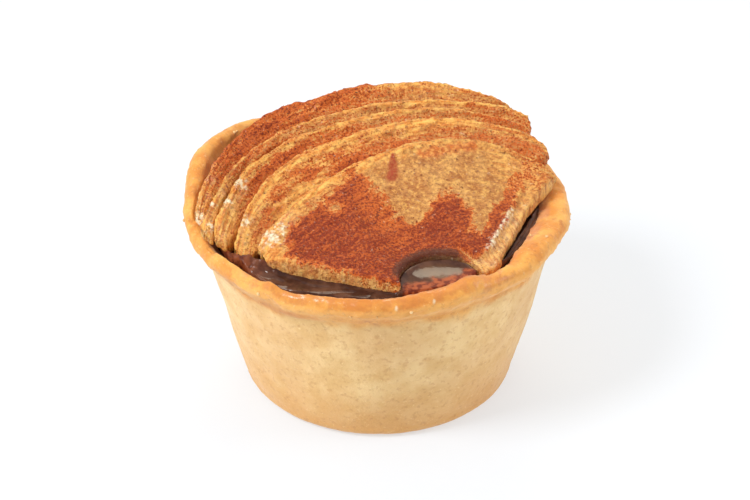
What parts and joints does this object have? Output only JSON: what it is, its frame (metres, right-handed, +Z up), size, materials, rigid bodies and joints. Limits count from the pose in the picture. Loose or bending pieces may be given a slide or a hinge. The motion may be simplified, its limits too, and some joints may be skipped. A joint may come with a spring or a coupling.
{
  "type": "apple tart",
  "caption": "Deep individual shortcrust tart with a stewed apple filling and half-apple slices fanned over the top, dusted with cinnamon and glazed.",
  "frame": {"origin": "centre of the flat underside of the shell", "axes": "+Z up; +Y away from the viewer, from the front slice towards the back slice; +X to the viewer's right"},
  "size_m": [0.0764, 0.0756, 0.0492],
  "materials": {
    "crust": "matt, pale sandy baked shortcrust with a browner rim",
    "filling": "wet, dark stewed apple in syrup",
    "apple": "glazed, with rust-red cinnamon"
  },
  "bodies": {
    "root": {"crust": "crust", "filling": "filling", "slice_1": "apple", "slice_2": "apple", "slice_3": "apple", "slice_4": "apple", "slice_5": "apple"}
  },
  "joints": []
}
